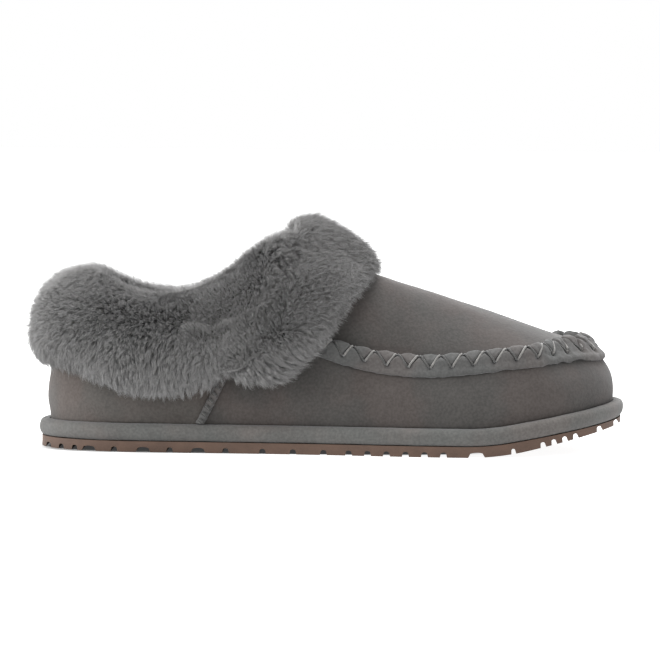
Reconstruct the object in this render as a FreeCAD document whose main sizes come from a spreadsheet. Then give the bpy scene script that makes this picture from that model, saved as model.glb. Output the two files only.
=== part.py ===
import FreeCAD, Part

import math
import os
from functools import lru_cache
from types import SimpleNamespace

from FreeCAD import Vector

# A right-foot house slipper: a moccasin upper of suede with turned-down sheepskin cuffs, on a foam
# midsole with a suede-wrapped edge and a rubber outsole. Millimetres. +X points to the toe, +Y to the
# inner (medial) side and +Z up. The origin is on the ground, under the middle of the slipper: the
# footprint is drawn about the heel's centre line, and each sub-part is then moved by middle_shift.

SIZES = {
    "outsole_thickness": 4.8,
    "outsole_inset": 1.3,
    "midsole_height": 7.2,
    "board_thickness": 1.4,
    "footbed_thickness": 4.0,
    "sock_pile": 4.0,
    "block_height": 60.0,
    "spring_start": 64.0,
    "spring_radius": 132.0,
    "spring_angle": 9.6,
    "tread_angle": 12.4,
    "wrap_width": 5.0,
    "wrap_height": 7.7,
    "tread_depth": 2.3,
    "suede": 1.8,
    "stiffener": 0.6,
    "fleece": 4.0,
    "fit_gap": 0.15,
    "layer_gap": 0.35,
    "lining_gap": 0.8,
    "stitch_pitch": 4.9,
    "welt_width": 9.2,
    "welt_thickness": 3.0,
    "thread_diameter": 1.0,
    "seam_cord_width": 4.2,
    "rear_pile": 14.0,
    "front_pile": 17.2,
    "middle_shift": 1.95,
}

# Footprint of the wrapped midsole, from the back of the heel along the outer side to the toe and back.
FOOTPRINT = [
    (-129.0, -1.0), (-122.0, -21.0), (-104.0, -33.5), (-72.0, -38.5), (-35.0, -41.0), (5.0, -45.0),
    (45.0, -50.5), (78.0, -51.0), (106.0, -43.0), (126.0, -26.0), (136.0, -3.0), (134.5, 17.0),
    (122.0, 36.5), (98.0, 47.5), (70.0, 49.0), (35.0, 44.0), (0.0, 39.5), (-35.0, 38.0),
    (-72.0, 37.5), (-104.0, 32.0), (-122.0, 19.5),
]

# Heights along the slipper, as (x, z) pairs that a smooth curve joins.
MOC_SEAM_HEIGHT = [(-30.0, 64.5), (-10.0, 53.0), (6.0, 46.2), (26.0, 41.6), (48.0, 40.2), (72.0, 42.3),
                   (100.0, 45.2), (126.0, 46.0)]
PLUG_RIDGE = [(-30.0, 95.5), (-14.0, 91.5), (0.0, 86.6), (25.0, 78.0), (50.0, 70.3), (83.0, 59.6),
              (105.0, 52.0), (117.0, 48.4), (128.0, 47.0)]
TOPLINE_HEIGHT = [(-122.0, 71.0), (-104.0, 69.0), (-80.0, 62.0), (-64.0, 60.5), (-50.0, 64.5),
                  (-38.0, 72.0), (-26.0, 80.0), (-12.0, 87.5), (0.0, 90.0)]
CUFF_TOP = [(-122.0, 78.0), (-108.0, 80.0), (-86.0, 73.0), (-66.0, 70.5), (-50.0, 74.0), (-38.0, 84.0),
            (-26.0, 94.5), (-14.0, 100.0), (0.0, 102.5)]
CUFF_HEM = [(-122.0, 38.0), (-110.0, 34.5), (-92.0, 28.5), (-70.0, 24.0), (-50.0, 28.0), (-30.0, 36.0)]

# The side seams lean forward: x of the seam at the top of the midsole, and x gained per mm of height.
SEAM_FOOT_X = -54.5
SEAM_SLOPE = 0.5

# Tread zones: x of the first groove, pitch, how many grooves and the width of each.
TREAD_ZONES = [(-123.5, 6.4, 3, 3.2), (-104.0, 24.6, 3, 7.6), (-92.5, 25.0, 3, 3.6),
               (-26.0, 13.6, 3, 3.6), (12.4, 8.4, 6, 3.6), (69.0, 16.0, 1, 8.4), (85.5, 7.5, 1, 2.4),
               (98.7, 4.9, 4, 2.8), (124.5, 8.1, 2, 3.0)]


def make_sheet(doc):
    """The spreadsheet that holds the driving dimensions, one alias each."""
    sheet = doc.addObject("Spreadsheet::Sheet", "Sizes")
    for row, (name, value) in enumerate(SIZES.items(), start=1):
        sheet.set(f"A{row}", name)
        sheet.set(f"B{row}", str(value))
        sheet.setAlias(f"B{row}", name)
    doc.recompute()
    return sheet


doc = FreeCAD.newDocument("HouseSlipper")
sheet = make_sheet(doc)
size = SimpleNamespace(**{name: float(sheet.get(name)) for name in SIZES})

midsole_top = size.outsole_thickness + size.midsole_height
board_top = midsole_top + size.board_thickness
footbed_top = board_top + size.footbed_thickness
ramp = math.radians(size.spring_angle)
tread_ramp = math.radians(size.tread_angle)


# ---------------------------------------------------------------- curves that every piece shares

def spline_through(points, closed=False):
    """A smooth curve through points, in millimetres."""
    curve = Part.BSplineCurve()
    curve.interpolate([Vector(*p) for p in points], PeriodicFlag=closed)
    return curve


def height_curve(pairs):
    """A function of x that runs smoothly through (x, z) pairs and is level outside them."""
    edge = spline_through([(x, z, 0.0) for x, z in pairs]).toShape()
    points = edge.discretize(Number=400)

    def height(x):
        if x <= points[0].x:
            return points[0].y
        for before, after in zip(points, points[1:]):
            if x < after.x:
                return before.y + (after.y - before.y) * (x - before.x) / (after.x - before.x)
        return points[-1].y

    return lru_cache(maxsize=None)(height)


moc_seam_height = height_curve(MOC_SEAM_HEIGHT)
plug_ridge = height_curve(PLUG_RIDGE)
topline_height = height_curve(TOPLINE_HEIGHT)
cuff_top = height_curve(CUFF_TOP)
cuff_hem = height_curve(CUFF_HEM)

footprint = spline_through(FOOTPRINT, closed=True).toShape()
around = footprint.Length
ring = footprint.discretize(Number=1201)
ring[-1] = ring[0]


def plan(station, inset):
    """The point that far along the footprint from the back of the heel, moved inwards by inset."""
    count = len(ring) - 1
    place = (station % around) / around * count
    index = int(place)
    part = place - index
    before, here, there, after = [ring[(index + step) % count] for step in (-1, 0, 1, 2)]
    forward = ((there - before) * (1 - part) + (after - here) * part).normalize()
    inwards = Vector(-forward.y, forward.x, 0)
    return here + (there - here) * part + inwards * inset


@lru_cache(maxsize=None)
def station_at(x, side, inset=0.0):
    """The station where the inset footprint crosses x, on the outer (-1) or inner (+1) side."""
    low, high = (0.0, around / 2) if side < 0 else (around, around / 2)
    for _ in range(30):
        middle = (low + high) / 2
        if plan(middle, inset).x < x:
            low = middle
        else:
            high = middle
    return low


def ease(value):
    """Zero below 0, one above 1 and smooth between."""
    value = min(max(value, 0.0), 1.0)
    return value * value * (3 - 2 * value)


def level(x, z, angle=ramp):
    """Height at x of the layer that is z above the ground, and curls up by that angle under the toes."""
    past = x - size.spring_start
    radius = size.spring_radius - z
    if past <= 0:
        return z
    if past < radius * math.sin(angle):
        return size.spring_radius - math.sqrt(radius ** 2 - past ** 2)
    arc_end = size.spring_radius - radius * math.cos(angle)
    return arc_end + (past - radius * math.sin(angle)) * math.tan(angle)


def lean(x, z):
    """How far the upper's outer face has moved inwards at height z above the midsole's top."""
    toe = ease((x - 92.0) / 30.0)
    rate = 0.0019 + 0.0062 * ease((x + 20.0) / 70.0) + 0.005 * toe
    rise = max(z - level(x, midsole_top), 0.0)
    bulge = 1.3 * math.sin(min(rise / 28.0, 1.0) * math.pi)
    return rate * rise ** 2 + 0.014 * toe * max(rise - 10.0, 0.0) ** 2 - bulge


def on_upper(station, z, depth):
    """A point on the wall of the upper at height z, depth below its outer face."""
    foot = plan(station, size.wrap_width)
    flat = plan(station, size.wrap_width + lean(foot.x, z) + depth)
    return Vector(flat.x, flat.y, z)


# ---------------------------------------------------------------- ways to make a solid

def panel(outer, inner):
    """The closed solid between two grids of points of the same size."""
    surfaces = []
    for rows in (outer, inner):
        surface = Part.BSplineSurface()
        surface.interpolate(rows)
        surfaces.append(surface)
    faces = [surface.toShape() for surface in surfaces]
    same_direction = 1
    for end in (0, 1):
        for edges in ([s.uIso(s.bounds()[end]).toShape() for s in surfaces],
                      [s.vIso(s.bounds()[2 + end]).toShape() for s in surfaces]):
            faces.append(Part.makeRuledSurface(*edges, same_direction))
    shell = Part.makeShell(faces)
    shell.sewShape()
    solid = Part.Solid(shell)
    if solid.Volume < 0:
        solid.reverse()
    return solid


def even(points, count=13):
    """The same smooth line, with its points equally far apart."""
    curve = Part.BSplineCurve()
    curve.interpolate(points)
    return curve.toShape().discretize(Number=count)


def grid(point, start, end, stations, levels):
    """Points along the footprint, from start(up) to end(up), at each fraction up of the height.

    Each point also gets the crest, which is the station that its row reaches at the top.
    """
    rows = []
    for i in range(stations + 1):
        share = i / stations
        crest = start(1.0) + (end(1.0) - start(1.0)) * share
        row = []
        for j in range(levels + 1):
            up = j / levels
            row.append(point(start(up) + (end(up) - start(up)) * share, up, crest))
        rows.append(row)
    return rows


def level_ends(start, end):
    """The same start and end at every height."""
    return (lambda up: start), (lambda up: end)


def bar(start, end, diameter):
    """A straight round bar."""
    along = end - start
    return Part.makeCylinder(diameter / 2, along.Length, start, along)


nodes = []


def add_shape(label, shape):
    """A sub-part whose shape is set directly."""
    feature = doc.addObject("Part::Feature", label)
    feature.Shape = shape
    feature.setExpression("Placement.Base.y", "Sizes.middle_shift")
    feature.Label = label
    nodes.append(feature)


def add_body(label):
    """An empty PartDesign body for a sub-part."""
    body = doc.addObject("PartDesign::Body", label)
    body.Label = label
    body.setExpression("Placement.Base.y", "Sizes.middle_shift")
    nodes.append(body)
    return body


def sketch_on(body, role, geometry):
    """A sketch on one of the body's own origin planes."""
    sketch = body.newObject("Sketcher::SketchObject", f"{body.Label}_{role[:2]}_sketch")
    plane = next(f for f in body.Origin.OriginFeatures if f.Role == role)
    sketch.AttachmentSupport = [(plane, "")]
    sketch.MapMode = "FlatFace"
    sketch.addGeometry(geometry, False)
    return sketch


def inset_outline(inset, count=72):
    """The footprint moved inwards, as one closed smooth curve."""
    return spline_through([tuple(plan(around * i / count, inset)) for i in range(count)], closed=True)


def layer_side(bottom, top, bottom_angle):
    """Side view of a sole layer: level to the ball, then a tangent arc and a straight ramp."""
    reach = 150.0

    def run(z, angle):
        radius = size.spring_radius - z
        centre = Vector(size.spring_start, size.spring_radius, 0)
        points = [centre + Vector(math.sin(a) * radius, -math.cos(a) * radius, 0)
                  for a in (0, angle / 2, angle)]
        far = Vector(reach, points[2].y + (reach - points[2].x) * math.tan(angle), 0)
        return Vector(-reach, z, 0), points, far

    low_start, low_arc, low_end = run(bottom, bottom_angle)
    top_start, top_arc, top_end = run(top, ramp)
    return [
        Part.LineSegment(low_start, low_arc[0]), Part.Arc(*low_arc),
        Part.LineSegment(low_arc[2], low_end), Part.LineSegment(low_end, top_end),
        Part.LineSegment(top_end, top_arc[2]), Part.Arc(*reversed(top_arc)),
        Part.LineSegment(top_arc[0], top_start), Part.LineSegment(top_start, low_start),
    ]


# ---------------------------------------------------------------- the sole

def sole_layer(label, bottom, thickness, inset, bottom_angle=ramp):
    """A flat layer of the sole, cut to the footprint and curled up at the toe with it."""
    body = add_body(label)
    side = sketch_on(body, "XZ_Plane", layer_side(bottom, bottom + thickness, bottom_angle))
    slab = body.newObject("PartDesign::Pad", f"{label}_slab")
    slab.Profile = side
    slab.SideType = "Symmetric"
    slab.setExpression("Length", "Sizes.block_height * 3")
    corners = [Vector(x, y, 0) for x, y in ((-200, -120), (200, -120), (200, 120), (-200, 120))]
    frame = [Part.LineSegment(a, b) for a, b in zip(corners, corners[1:] + corners[:1])]
    outline = sketch_on(body, "XY_Plane", frame + [inset_outline(inset)])
    trim = body.newObject("PartDesign::Pocket", f"{label}_trim")
    trim.Profile = outline
    trim.SideType = "Symmetric"
    trim.Type = "ThroughAll"
    doc.recompute()
    return body


def tread_groove(x, width):
    """Side view of one groove: an arch that stands on the ground face at x."""
    ground = level(x, 0, tread_ramp)
    slope = (level(x + 1, 0, tread_ramp) - level(x - 1, 0, tread_ramp)) / 2
    under = size.tread_depth * 0.4
    points = [Vector(x + dx - up * slope, ground + up + dx * slope, 0)
              for dx, up in ((-width / 2, -under), (-width * 0.32, size.tread_depth * 0.8),
                             (0, size.tread_depth), (width * 0.32, size.tread_depth * 0.8),
                             (width / 2, -under))]
    crown = Part.Arc(points[1], points[2], points[3])
    return [Part.LineSegment(points[0], points[1]), crown, Part.LineSegment(points[3], points[4]),
            Part.LineSegment(points[4], points[0])]


def outsole():
    """The rubber outsole, with arched grooves that run right across its ground face."""
    body = sole_layer("outsole", 0.0, size.outsole_thickness, size.outsole_inset, tread_ramp)
    grooves = []
    for first, pitch, count, width in TREAD_ZONES:
        for i in range(count):
            grooves += tread_groove(first + pitch * i, width)
    tread = sketch_on(body, "XZ_Plane", grooves)
    cut = body.newObject("PartDesign::Pocket", "outsole_tread")
    cut.Profile = tread
    cut.SideType = "Symmetric"
    cut.Type = "ThroughAll"
    doc.recompute()


def midsole_wrap():
    """The suede strip round the midsole's edge, whose two ends meet at the back of the heel."""
    butt_gap = 0.2
    low = size.outsole_thickness + size.fit_gap
    section = [(1.0, 1.0), (0.72, 1.02), (0.34, 0.96), (0.06, 0.78), (0.0, 0.54), (0.05, 0.3),
               (0.3, 0.06), (0.66, 0.0), (1.0, 0.0)]

    def skin(station, up, crest):
        across, rise = section[round(up * (len(section) - 1))]
        spot = plan(station, across * (size.wrap_width - size.fit_gap))
        return Vector(spot.x, spot.y, level(spot.x, low + rise * (size.wrap_height - size.fit_gap)))

    def back(station, up, crest):
        spot = plan(station, size.wrap_width - size.fit_gap)
        edge = 0.3
        rise = (1 - edge) - (1 - 2 * edge) * up
        return Vector(spot.x, spot.y, level(spot.x, low + rise * (size.wrap_height - size.fit_gap)))

    ends = level_ends(butt_gap / 2, around - butt_gap / 2)
    rows = [grid(point, *ends, 90, len(section) - 1) for point in (skin, back)]
    add_shape("midsole_wrap", panel(*rows))


# ---------------------------------------------------------------- the suede upper and its linings

def seam_ends(lowest, highest, gap):
    """Where the slanting side seams cut a layer, which spans those heights: outer side, inner side."""
    def seam(side):
        def station(up):
            rise = lowest + up * (highest - lowest) - midsole_top
            return station_at(SEAM_FOOT_X + SEAM_SLOPE * rise + gap, side, size.wrap_width)
        return station
    return seam(-1), seam(1)


SEAM_TOP = topline_height(-18.0)
MOC_SEAM_TOP = moc_seam_height(-28.0)


def layer(height_at_crest, lowest, depth, thickness, ends, stations):
    """One layer of the upper, from a level of the sole up to the height that each crest has."""
    def at(extra):
        def point(station, up, crest):
            low = level(plan(station, size.wrap_width).x, lowest)
            high = height_at_crest(plan(crest, size.wrap_width).x)
            return on_upper(station, low + up * (high - low), depth + extra)
        return point

    return panel(grid(at(0), *ends, stations, 7), grid(at(thickness), *ends, stations, 7))


def wall_layer(depth, lowest, below_top, thickness, gap):
    """One layer of the wall round the forefoot, from the sole up to just under the moccasin seam."""
    ends = seam_ends(lowest, MOC_SEAM_TOP - below_top, gap)
    return layer(lambda x: moc_seam_height(x) - below_top, lowest, depth, thickness, ends, 48)


def heel_layer(depth, lowest, below_top, thickness, gap):
    """One layer round the heel, from the sole up to the topline, between the side seams."""
    outer_seam, inner_seam = seam_ends(lowest, SEAM_TOP - below_top, -gap)
    ends = inner_seam, lambda up: outer_seam(up) + around
    return layer(lambda x: topline_height(x) - below_top, lowest, depth, thickness, ends, 40)


def plug_width(x, side):
    """Half the width of the plug at x, on one side of the middle line."""
    reach = min(x, 100.0)
    station = station_at(reach, side, size.wrap_width)
    flat = on_upper(station, moc_seam_height(reach), 2.0)
    return abs(flat.y)


def plug_height(x, y):
    """Height of the plug's outer face, a crowned arch that flattens towards the toe."""
    middle = (plug_width(x, 1) - plug_width(x, -1)) / 2
    half = (plug_width(x, 1) + plug_width(x, -1)) / 2
    edge = moc_seam_height(x) + 2.0
    ridge = plug_ridge(x)
    return ridge - (ridge - edge) * (abs(y - middle * 0.5) / half) ** 2.2


def plug_blank(depth, thickness):
    """A layer of the plug before it is cut to its outline."""
    lines = 26
    columns = 18

    def rows(below):
        points = []
        for i in range(lines + 1):
            x = -34.0 + i * 164.0 / lines
            row = []
            for j in range(columns + 1):
                y = -50.0 + j * 100.0 / columns
                step = 0.5
                dx = (plug_height(x + step, y) - plug_height(x - step, y)) / (2 * step)
                dy = (plug_height(x, y + step) - plug_height(x, y - step)) / (2 * step)
                normal = Vector(-dx, -dy, 1).normalize()
                row.append(Vector(x, y, plug_height(x, y)) - normal * below)
            points.append(row)
        return points

    return panel(rows(depth), rows(depth + thickness))


def plug_outline(inset, throat_shift):
    """The plug's outline seen from above: the moccasin seam, closed by the curved throat edge."""
    start = station_at(-26.0 + throat_shift, -1, size.wrap_width)
    end = station_at(-26.0 + throat_shift, 1, size.wrap_width)
    count = 40
    seam = []
    for i in range(count + 1):
        station = start + (end - start) * i / count
        foot = plan(station, size.wrap_width)
        seam.append(on_upper(station, moc_seam_height(foot.x), inset))
    flat = [Vector(p.x, p.y, 0) for p in seam]
    throat = Vector(-12.0 + throat_shift, (flat[0].y + flat[-1].y) / 2, 0)
    edge = Part.BSplineCurve()
    edge.interpolate(flat)
    back = Part.Arc(flat[-1], throat, flat[0])
    return Part.Face(Part.Wire([edge.toShape(), back.toShape()])).extrude(Vector(0, 0, 150))


def vamp_plug():
    """The apron over the foot, inside the moccasin seam."""
    add_shape("vamp_plug", plug_blank(0, size.suede).common(plug_outline(2.2, 0.0)))


def plug_lining():
    """The fleece under the plug, clear of the wall's own lining."""
    depth = size.suede + size.fit_gap
    room = size.suede + size.stiffener + size.fleece + 1.2
    add_shape("plug_lining", plug_blank(depth, size.fleece - 1).common(plug_outline(room, 1.0)))


def on_welt(station, along, proud):
    """A point on the moccasin welt: along is up its width from its middle, proud is outwards.

    The lower half lies on the wall, and the upper half bends away from it as a lip.
    """
    tilt = math.radians(20)
    lip_bend = 0.05
    middle_z = moc_seam_height(plan(station, size.wrap_width).x)
    z = middle_z + along * math.cos(tilt) + proud * math.sin(tilt)
    return on_upper(station, z, -proud - lip_bend * max(along, 0.0) ** 2)


def welt_ends():
    """Where the welt starts and stops: at the side seams, under the front cuff."""
    return [station_at(-26.0, side, size.wrap_width) for side in (-1, 1)]


def moc_seam_welt():
    """The rolled and puckered edge that joins the wall to the plug."""
    half = size.welt_width / 2
    lift = 0.35
    rim = 0.3
    ends = level_ends(*welt_ends())

    def crown(station, up, crest):
        along = half * (2 * up - 1)
        roundness = math.sqrt(max(1 - (0.97 * along / half) ** 2, 0))
        return on_welt(station, along, lift + rim + (size.welt_thickness - rim) * roundness)

    def back(station, up, crest):
        return on_welt(station, half * (2 * up - 1), lift)

    add_shape("moc_seam_welt", panel(grid(crown, *ends, 64, 8), grid(back, *ends, 64, 8)))


def moc_seam_lacing():
    """The zigzag thread on the welt, one bar for each leg."""
    start, end = welt_ends()
    reach = size.welt_width * 0.32
    proud = size.welt_thickness + 0.35 + size.thread_diameter * 0.55
    count = int((end - start) / size.stitch_pitch)
    legs = []
    for i in range(count):
        rise = reach if i % 2 else -reach
        foot = on_welt(start + (end - start) * (i + 0.1) / count, -rise, proud)
        head = on_welt(start + (end - start) * (i + 0.9) / count, rise, proud)
        legs.append(bar(foot, head, size.thread_diameter))
    add_shape("moc_seam_lacing", Part.makeCompound(legs))


def on_side_seam(side, rise, across, proud):
    """A point on the side seam: rise above the midsole, across it towards the toe, proud of the upper."""
    station = station_at(SEAM_FOOT_X + SEAM_SLOPE * rise, side, size.wrap_width) - side * across
    return on_upper(station, midsole_top + rise, -proud)


def side_seam_welt(side, label):
    """The raised, whip-stitched seam between the wall and the heel quarter."""
    half = size.seam_cord_width / 2
    lowest = size.wrap_height - size.midsole_height + 0.2
    highest = SEAM_TOP - midsole_top - 3.0
    crown = [(-1.0, 0.15), (-0.7, 0.75), (0.0, 1.0), (0.7, 0.75), (1.0, 0.15)]

    def rows(point):
        return [[point(lowest + (highest - lowest) * i / 24, j) for j in range(len(crown))]
                for i in range(25)]

    lift = 0.2
    outer = rows(lambda rise, j: on_side_seam(side, rise, half * crown[j][0], lift + 2.2 * crown[j][1]))
    inner = rows(lambda rise, j: on_side_seam(side, rise, half * (j / 2 - 1), lift))
    add_shape(label, panel(outer, inner))


def side_seam_stitches(side, label):
    """The short stitches that cross the side seam, one above the other."""
    pitch = 3.0
    highest = SEAM_TOP - midsole_top - 6.0
    proud = 0.2 + 2.2 + size.thread_diameter * 0.6
    half = size.seam_cord_width * 0.3
    count = int((highest - 2.5) / pitch)
    bars = []
    for i in range(count):
        rise = 2.5 + pitch * i
        low = on_side_seam(side, rise - 0.8, half, proud)
        high = on_side_seam(side, rise + 0.8, -half, proud)
        bars.append(bar(low, high, size.thread_diameter))
    add_shape(label, Part.makeCompound(bars))


def stiffener(label, reach, lowest, height_at_crest):
    """A thin layer behind the suede, round the end of the slipper that lies beyond x = reach."""
    outer_end, inner_end = [station_at(reach, side, size.wrap_width) for side in (-1, 1)]
    ends = level_ends(outer_end, inner_end) if reach > 0 else level_ends(inner_end, outer_end + around)
    shape = layer(height_at_crest, lowest, size.suede + size.layer_gap, size.stiffener, ends, 30)
    add_shape(label, shape)


def topline_tape():
    """The narrow tape that stops the quarter's top edge from stretching."""
    width = 8.0
    below = 1.0
    reach = -34.0
    start = station_at(reach, 1, size.wrap_width)
    end = station_at(reach, -1, size.wrap_width) + around

    def at(depth):
        def point(station, up, crest):
            high = topline_height(plan(station, size.wrap_width).x) - below
            return on_upper(station, high - width * (1 - up), depth)
        return point

    inner_face = size.suede + size.layer_gap
    rows = [grid(at(depth), *level_ends(start, end), 36, 3)
            for depth in (inner_face, inner_face + size.stiffener)]
    add_shape("topline_tape", panel(*rows))


def stitch_row(label, length, gap, point, start, end):
    """A row of separate straight stitches along a line of the upper."""
    step = length + gap
    count = int((end - start) / step)
    stitches = [bar(point(start + step * i), point(start + step * i + length), size.thread_diameter * 0.8)
                for i in range(count)]
    add_shape(label, Part.makeCompound(stitches))


# ---------------------------------------------------------------- the sheepskin cuffs

def rear_cuff():
    """The turned-down collar round the heel: it hangs outside the quarter and rolls over its top."""
    sections = 30
    crease_gap = 1.0
    pile = size.rear_pile
    # Each point: share of the drop from hem to top, and how far it stands out from the upper's face
    outside = [(0.05, 0.07), (0.0, 0.4), (0.12, 0.8), (0.36, 1.0), (0.63, 1.0), (0.86, 0.78), (0.98, 0.34),
               (1.0, -0.1)]
    inside_rise = [0.0, 0.25, 0.5, 0.75, 0.95]

    def along(z, share):
        rise = z - midsole_top
        start = station_at(SEAM_FOOT_X + SEAM_SLOPE * rise - crease_gap, 1, size.wrap_width)
        end = station_at(SEAM_FOOT_X + SEAM_SLOPE * rise - crease_gap, -1, size.wrap_width) + around
        return start + (end - start) * share

    def rows(profile):
        grid_rows = []
        for i in range(sections + 1):
            share = i / sections
            hem = cuff_hem(plan(along(32.0, share), size.wrap_width).x)
            top_x = plan(along(85.0, share), size.wrap_width).x
            curve = profile(hem, topline_height(top_x), cuff_top(top_x), share)
            grid_rows.append(even([on_upper(along(z, share), z, -out) for z, out in curve]))
        return grid_rows

    def outer(hem, topline, top, share):
        curve = [(hem + rise * (top - hem), out * pile) for rise, out in outside]
        return curve + [(top - 4.5, -6.6), (topline + 3.2, -7.0)]

    def inner(hem, topline, top, share):
        hem += 4.0
        stand_off = 0.8 + 3.8 * ease((abs(share - 0.5) * 2 - 0.72) / 0.2)
        curve = [(hem + rise * (topline - hem), stand_off) for rise in inside_rise]
        return curve + [(topline + 0.9, stand_off * 0.6), (topline + 1.7, -1.0), (topline + 1.9, -3.0),
                        (topline + 2.0, -5.0), (topline + 2.1, -6.6)]

    add_shape("rear_cuff", panel(rows(outer), rows(inner)))


INSTEP_AXIS_Z = 45.0
FRONT_CUFF_EDGE = [(30.0, -20.0), (40.0, -8.0), (50.0, 3.5), (66.0, 15.5), (84.0, 24.0), (95.0, 26.0)]
front_cuff_edge = height_curve(FRONT_CUFF_EDGE)


def inside_upper(x, y, z):
    """Whether a point lies inside the closed outer face of the upper, the plug carried on rearwards."""
    side = -1 if y < 0 else 1
    seam = moc_seam_height(x)
    wall = on_upper(station_at(x, side, size.wrap_width), min(z, seam), 0.0)
    if abs(y) > abs(wall.y):
        return False
    return z < seam + 2.0 or z < plug_height(x, y)


@lru_cache(maxsize=None)
def edge_radius(x, angle):
    """Distance from the instep's axis to the upper's outer face, angle from straight up."""
    low, high = 5.0, 70.0
    for _ in range(24):
        middle = (low + high) / 2
        if inside_upper(x, middle * math.sin(angle), INSTEP_AXIS_Z + middle * math.cos(angle)):
            low = middle
        else:
            high = middle
    return low


def skin_radius(x, angle):
    """The same distance, rounded over the moccasin seam and falling away behind the throat."""
    spread = math.radians(7)
    throat = -14.0
    ahead = round(max(x, throat), 2)
    radii = [edge_radius(ahead, angle + spread * step) for step in (-1.0, -0.5, 0.0, 0.5, 1.0)]
    top = max(math.cos(angle), 0.0)
    return sum(radii) / len(radii) - 0.45 * top * max(throat - x, 0.0)


def saddle_rows(end_angle, stations, profile):
    """Rows of points across the front cuff, from its outer end over the instep to its inner end."""
    crease_gap = 3.0
    rows = []
    for i in range(stations + 1):
        angle = end_angle * (2 * i / stations - 1)
        height = INSTEP_AXIS_Z + skin_radius(-10.0, angle) * math.cos(angle)
        rear = min(SEAM_FOOT_X + SEAM_SLOPE * (height - midsole_top) + crease_gap, -16.0)
        front = front_cuff_edge(height)
        row = []
        for share, out in profile(angle):
            x = rear + (front - rear) * share
            radius = skin_radius(x, angle) + out
            row.append(Vector(x, radius * math.sin(angle), INSTEP_AXIS_Z + radius * math.cos(angle)))
        rows.append(even(row))
    return rows


def front_cuff():
    """The turned-down collar over the instep, from one side seam over the foot to the other."""
    end_angle = math.radians(106)
    taper = math.radians(24)
    arc = [math.radians(a) for a in (10, 30, 52, 75, 98, 121, 145, 170)]

    def stand_off(angle):
        return 1.4 + 4.6 * ease((abs(angle) - 0.4) / 0.5)

    def outer(angle):
        rest = max(abs(angle) - (end_angle - taper), 0.0) / taper
        fullness = math.sqrt(max(1 - 0.8 * rest ** 2, 0.0))
        return [((1 - math.cos(a)) / 2, stand_off(angle) + (size.front_pile - stand_off(angle) * 0.5)
                 * fullness * math.sin(a) ** 0.75) for a in arc]

    def inner(angle):
        return [((1 - math.cos(a)) / 2, stand_off(angle)) for a in arc]

    add_shape("front_cuff", panel(saddle_rows(end_angle, 26, outer), saddle_rows(end_angle, 26, inner)))


def cuff_stitches():
    """The stitches that hold the cuffs to the quarter and to the plug, just under the topline."""
    proud = 0.4
    below = 4.0
    start = station_at(-40.0, 1, size.wrap_width)
    end = station_at(-40.0, -1, size.wrap_width) + around

    def on_quarter(station):
        z = topline_height(plan(station, size.wrap_width).x) - below
        return on_upper(station, z, -proud)

    stitch_row("rear_cuff_stitches", 3.0, 1.6, on_quarter, start, end)

    def on_plug(y):
        x = -7.0 - 0.012 * y * y
        return Vector(x, y, plug_height(x, y) + proud * 1.2)

    stitch_row("front_cuff_stitches", 2.4, 1.4, on_plug, -17.0, 17.0)


# ---------------------------------------------------------------- the whole slipper

def build():
    """Make every sub-part."""
    outsole()
    wall_inset = size.wrap_width + size.fit_gap
    lining_depth = size.suede + size.stiffener + 2 * size.layer_gap
    lining_inset = size.wrap_width + lining_depth + size.fleece + size.fit_gap
    sole_layer("midsole_foam", size.outsole_thickness, size.midsole_height, wall_inset + 2 * size.fit_gap)
    midsole_wrap()
    sole_layer("insole_board", midsole_top, size.board_thickness, wall_inset + size.suede)
    sole_layer("footbed_foam", board_top, size.footbed_thickness, lining_inset)
    sole_layer("sock_lining", footbed_top, size.sock_pile, lining_inset)
    add_shape("vamp_wall", wall_layer(0.0, midsole_top, 1.0, size.suede, size.fit_gap))
    add_shape("wall_lining", wall_layer(lining_depth, board_top, 5.5, size.fleece, size.lining_gap))
    stiffener("toe_puff", 72.0, board_top, lambda x: moc_seam_height(x) - 6.0)
    vamp_plug()
    plug_lining()
    moc_seam_welt()
    moc_seam_lacing()
    add_shape("heel_quarter", heel_layer(0.0, midsole_top, 0.0, size.suede, size.fit_gap))
    add_shape("heel_lining", heel_layer(lining_depth, board_top, 0.5, size.fleece, size.lining_gap))
    stiffener("heel_counter", -84.0, board_top, lambda x: 50.0)
    topline_tape()
    for side, name in ((-1, "outer"), (1, "inner")):
        side_seam_welt(side, f"side_seam_welt_{name}")
        side_seam_stitches(side, f"side_seam_stitches_{name}")
    rear_cuff()
    front_cuff()
    cuff_stitches()


def check_and_export():
    """Stop on any failed object, then write one STEP file for each sub-part."""
    doc.recompute()
    for item in doc.Objects:
        if "Invalid" in item.State or "Error" in item.State:
            raise RuntimeError(f"{item.Label} failed: {item.State}")
    os.makedirs("parts", exist_ok=True)
    for node in nodes:
        if node.Shape.isNull() or not node.Shape.isValid():
            raise RuntimeError(f"{node.Label} has no valid shape")
        node.Shape.exportStep(f"parts/{node.Label}.step")
        print(f"{node.Label}: {node.Shape.Volume:.0f} mm3")


build()
check_and_export()
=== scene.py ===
import math

import bmesh
import bpy
import numpy as np
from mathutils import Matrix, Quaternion, Vector, noise
from mathutils.bvhtree import BVHTree
from mathutils.kdtree import KDTree


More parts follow.
